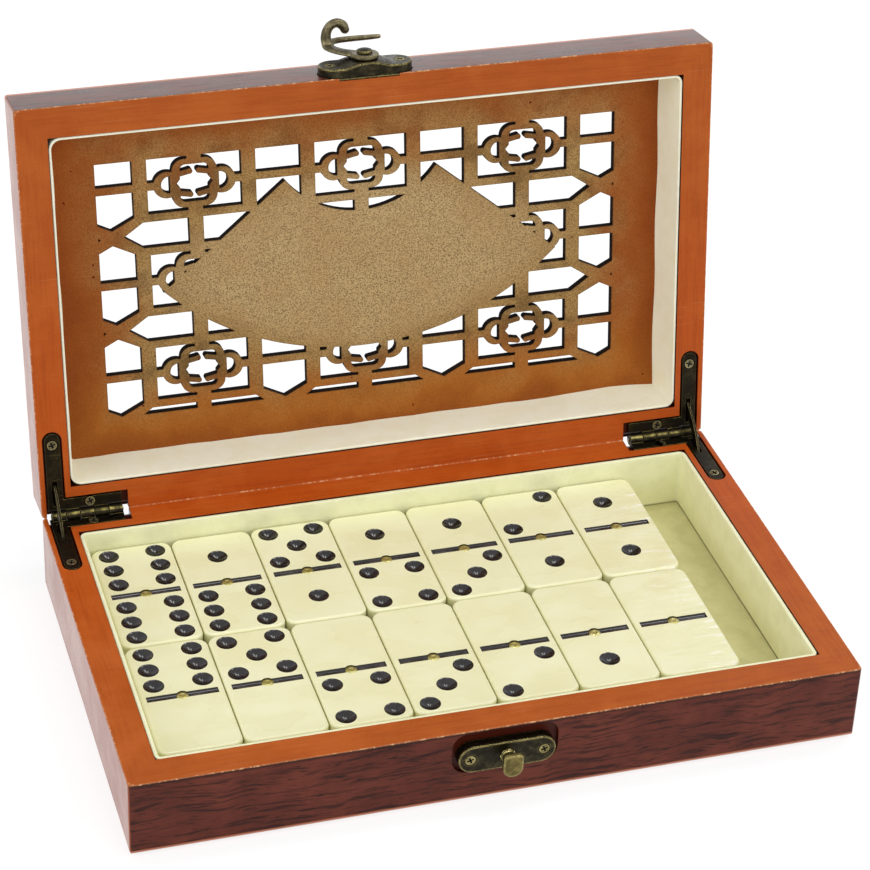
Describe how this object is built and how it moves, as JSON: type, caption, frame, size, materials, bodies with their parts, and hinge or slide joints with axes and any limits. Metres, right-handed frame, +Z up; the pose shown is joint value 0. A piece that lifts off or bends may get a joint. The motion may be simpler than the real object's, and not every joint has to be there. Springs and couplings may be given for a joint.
{
  "type": "domino storage box",
  "caption": "Hinged wooden box with a fretwork lid, hook and catch, stayed hinges and a tray of domino tiles with brass spinners.",
  "frame": {"origin": "centre of the base's underside", "axes": "+X along the long side towards the right with the latch facing the user, +Y towards the hinges, +Z up"},
  "size_m": [0.21, 0.1779, 0.16],
  "materials": {
    "foiled_board": "medium-density board, satin dark-wood foil outside, orange-brown paint on the rims",
    "raw_board": "medium-density board, matt, laser-cut, orange-brown stain towards the edges",
    "cream_paper": "paper-wrapped board, matt cream",
    "antique_brass": "dark antique brass with worn edges",
    "screw_brass": "aged brass",
    "tile_resin": "semi-gloss ivory resin, black spots and groove, brass pin"
  },
  "bodies": {
    "base": {"base_front_wall": "foiled_board", "base_back_wall": "foiled_board", "base_left_wall": "foiled_board", "base_right_wall": "foiled_board", "base_bottom_panel": "raw_board", "base_floor_paper": "cream_paper", "base_lining": "cream_paper", "left_hinge_base_leaf": "antique_brass", "left_hinge_pin": "antique_brass", "right_hinge_base_leaf": "antique_brass", "right_hinge_pin": "antique_brass", "base_hinge_screws": "screw_brass", "catch_plate": "antique_brass", "catch_stud": "antique_brass", "catch_screws": "screw_brass"},
    "lid": {"lid_front_wall": "foiled_board", "lid_back_wall": "foiled_board", "lid_left_wall": "foiled_board", "lid_right_wall": "foiled_board", "lid_fret_panel": "raw_board", "lid_lining": "cream_paper", "left_hinge_lid_leaf": "antique_brass", "right_hinge_lid_leaf": "antique_brass", "lid_hinge_screws": "screw_brass", "hook_plate": "antique_brass", "hook_rivet": "antique_brass", "hook_plate_screws": "screw_brass"},
    "left_stay": {"left_hinge_stay": "antique_brass"},
    "right_stay": {"right_hinge_stay": "antique_brass"},
    "hook": {"hook": "antique_brass"},
    "tile_6_6": {"tile_6_6": "tile_resin"},
    "tile_2_2": {"tile_2_2": "tile_resin"},
    "tile_6_1": {"tile_6_1": "tile_resin"},
    "tile_3_2": {"tile_3_2": "tile_resin"},
    "tile_5_1": {"tile_5_1": "tile_resin"},
    "tile_4_2": {"tile_4_2": "tile_resin"},
    "tile_4_1": {"tile_4_1": "tile_resin"},
    "tile_5_2": {"tile_5_2": "tile_resin"},
    "tile_3_1": {"tile_3_1": "tile_resin"},
    "tile_6_2": {"tile_6_2": "tile_resin"},
    "tile_2_1": {"tile_2_1": "tile_resin"},
    "tile_3_3": {"tile_3_3": "tile_resin"},
    "tile_1_1": {"tile_1_1": "tile_resin"},
    "tile_4_3": {"tile_4_3": "tile_resin"},
    "tile_6_0": {"tile_6_0": "tile_resin"},
    "tile_5_3": {"tile_5_3": "tile_resin"},
    "tile_5_0": {"tile_5_0": "tile_resin"},
    "tile_6_3": {"tile_6_3": "tile_resin"},
    "tile_4_0": {"tile_4_0": "tile_resin"},
    "tile_4_4": {"tile_4_4": "tile_resin"},
    "tile_3_0": {"tile_3_0": "tile_resin"},
    "tile_5_4": {"tile_5_4": "tile_resin"},
    "tile_2_0": {"tile_2_0": "tile_resin"},
    "tile_6_4": {"tile_6_4": "tile_resin"},
    "tile_1_0": {"tile_1_0": "tile_resin"},
    "tile_5_5": {"tile_5_5": "tile_resin"},
    "tile_0_0": {"tile_0_0": "tile_resin"},
    "tile_6_5": {"tile_6_5": "tile_resin"}
  },
  "joints": [
    {"name": "lid_hinge", "type": "hinge", "parent": "base", "child": "lid", "pos_m": [0, 0.0635, 0.0245], "axis": [-1, 0, 0], "range_deg": [-98.95, 0]},
    {"name": "left_stay_swing", "type": "hinge", "parent": "base", "child": "left_stay", "pos_m": [0, 0.0635, 0.0245], "axis": [-1, 0, 0], "range_deg": [-49.48, 0]},
    {"name": "right_stay_swing", "type": "hinge", "parent": "base", "child": "right_stay", "pos_m": [0, 0.0635, 0.0245], "axis": [-1, 0, 0], "range_deg": [-49.48, 0]},
    {"name": "hook_pivot", "type": "hinge", "parent": "lid", "child": "hook", "pos_m": [-0.0014, 0.08929, 0.15406], "axis": [0, 0.1564, 0.9877], "range_deg": [-180, 75]},
    {"name": "lift_tile_6_6", "type": "slide", "parent": "base", "child": "tile_6_6", "axis": [0, 0, 1], "range_m": [0, 0.034]},
    {"name": "lift_tile_2_2", "type": "slide", "parent": "base", "child": "tile_2_2", "axis": [0, 0, 1], "range_m": [0, 0.0204]},
    {"name": "lift_tile_6_1", "type": "slide", "parent": "base", "child": "tile_6_1", "axis": [0, 0, 1], "range_m": [0, 0.034]},
    {"name": "lift_tile_3_2", "type": "slide", "parent": "base", "child": "tile_3_2", "axis": [0, 0, 1], "range_m": [0, 0.0204]},
    {"name": "lift_tile_5_1", "type": "slide", "parent": "base", "child": "tile_5_1", "axis": [0, 0, 1], "range_m": [0, 0.034]},
    {"name": "lift_tile_4_2", "type": "slide", "parent": "base", "child": "tile_4_2", "axis": [0, 0, 1], "range_m": [0, 0.0204]},
    {"name": "lift_tile_4_1", "type": "slide", "parent": "base", "child": "tile_4_1", "axis": [0, 0, 1], "range_m": [0, 0.034]},
    {"name": "lift_tile_5_2", "type": "slide", "parent": "base", "child": "tile_5_2", "axis": [0, 0, 1], "range_m": [0, 0.0204]},
    {"name": "lift_tile_3_1", "type": "slide", "parent": "base", "child": "tile_3_1", "axis": [0, 0, 1], "range_m": [0, 0.034]},
    {"name": "lift_tile_6_2", "type": "slide", "parent": "base", "child": "tile_6_2", "axis": [0, 0, 1], "range_m": [0, 0.0204]},
    {"name": "lift_tile_2_1", "type": "slide", "parent": "base", "child": "tile_2_1", "axis": [0, 0, 1], "range_m": [0, 0.034]},
    {"name": "lift_tile_3_3", "type": "slide", "parent": "base", "child": "tile_3_3", "axis": [0, 0, 1], "range_m": [0, 0.0204]},
    {"name": "lift_tile_1_1", "type": "slide", "parent": "base", "child": "tile_1_1", "axis": [0, 0, 1], "range_m": [0, 0.034]},
    {"name": "lift_tile_4_3", "type": "slide", "parent": "base", "child": "tile_4_3", "axis": [0, 0, 1], "range_m": [0, 0.0204]},
    {"name": "lift_tile_6_0", "type": "slide", "parent": "base", "child": "tile_6_0", "axis": [0, 0, 1], "range_m": [0, 0.034]},
    {"name": "lift_tile_5_3", "type": "slide", "parent": "base", "child": "tile_5_3", "axis": [0, 0, 1], "range_m": [0, 0.0204]},
    {"name": "lift_tile_5_0", "type": "slide", "parent": "base", "child": "tile_5_0", "axis": [0, 0, 1], "range_m": [0, 0.034]},
    {"name": "lift_tile_6_3", "type": "slide", "parent": "base", "child": "tile_6_3", "axis": [0, 0, 1], "range_m": [0, 0.0204]},
    {"name": "lift_tile_4_0", "type": "slide", "parent": "base", "child": "tile_4_0", "axis": [0, 0, 1], "range_m": [0, 0.034]},
    {"name": "lift_tile_4_4", "type": "slide", "parent": "base", "child": "tile_4_4", "axis": [0, 0, 1], "range_m": [0, 0.0204]},
    {"name": "lift_tile_3_0", "type": "slide", "parent": "base", "child": "tile_3_0", "axis": [0, 0, 1], "range_m": [0, 0.034]},
    {"name": "lift_tile_5_4", "type": "slide", "parent": "base", "child": "tile_5_4", "axis": [0, 0, 1], "range_m": [0, 0.0204]},
    {"name": "lift_tile_2_0", "type": "slide", "parent": "base", "child": "tile_2_0", "axis": [0, 0, 1], "range_m": [0, 0.034]},
    {"name": "lift_tile_6_4", "type": "slide", "parent": "base", "child": "tile_6_4", "axis": [0, 0, 1], "range_m": [0, 0.0204]},
    {"name": "lift_tile_1_0", "type": "slide", "parent": "base", "child": "tile_1_0", "axis": [0, 0, 1], "range_m": [0, 0.034]},
    {"name": "lift_tile_5_5", "type": "slide", "parent": "base", "child": "tile_5_5", "axis": [0, 0, 1], "range_m": [0, 0.0204]},
    {"name": "lift_tile_0_0", "type": "slide", "parent": "base", "child": "tile_0_0", "axis": [0, 0, 1], "range_m": [0, 0.034]},
    {"name": "lift_tile_6_5", "type": "slide", "parent": "base", "child": "tile_6_5", "axis": [0, 0, 1], "range_m": [0, 0.0204]}
  ],
  "couplings": [
    {"joint": "left_stay_swing", "follows": "lid_hinge", "ratio": 0.5},
    {"joint": "right_stay_swing", "follows": "lid_hinge", "ratio": 0.5},
    {"joint": "lift_tile_2_2", "follows": "lift_tile_6_6", "ratio": 0.6},
    {"joint": "lift_tile_3_2", "follows": "lift_tile_6_1", "ratio": 0.6},
    {"joint": "lift_tile_4_2", "follows": "lift_tile_5_1", "ratio": 0.6},
    {"joint": "lift_tile_5_2", "follows": "lift_tile_4_1", "ratio": 0.6},
    {"joint": "lift_tile_6_2", "follows": "lift_tile_3_1", "ratio": 0.6},
    {"joint": "lift_tile_3_3", "follows": "lift_tile_2_1", "ratio": 0.6},
    {"joint": "lift_tile_4_3", "follows": "lift_tile_1_1", "ratio": 0.6},
    {"joint": "lift_tile_5_3", "follows": "lift_tile_6_0", "ratio": 0.6},
    {"joint": "lift_tile_6_3", "follows": "lift_tile_5_0", "ratio": 0.6},
    {"joint": "lift_tile_4_4", "follows": "lift_tile_4_0", "ratio": 0.6},
    {"joint": "lift_tile_5_4", "follows": "lift_tile_3_0", "ratio": 0.6},
    {"joint": "lift_tile_6_4", "follows": "lift_tile_2_0", "ratio": 0.6},
    {"joint": "lift_tile_5_5", "follows": "lift_tile_1_0", "ratio": 0.6},
    {"joint": "lift_tile_6_5", "follows": "lift_tile_0_0", "ratio": 0.6}
  ]
}
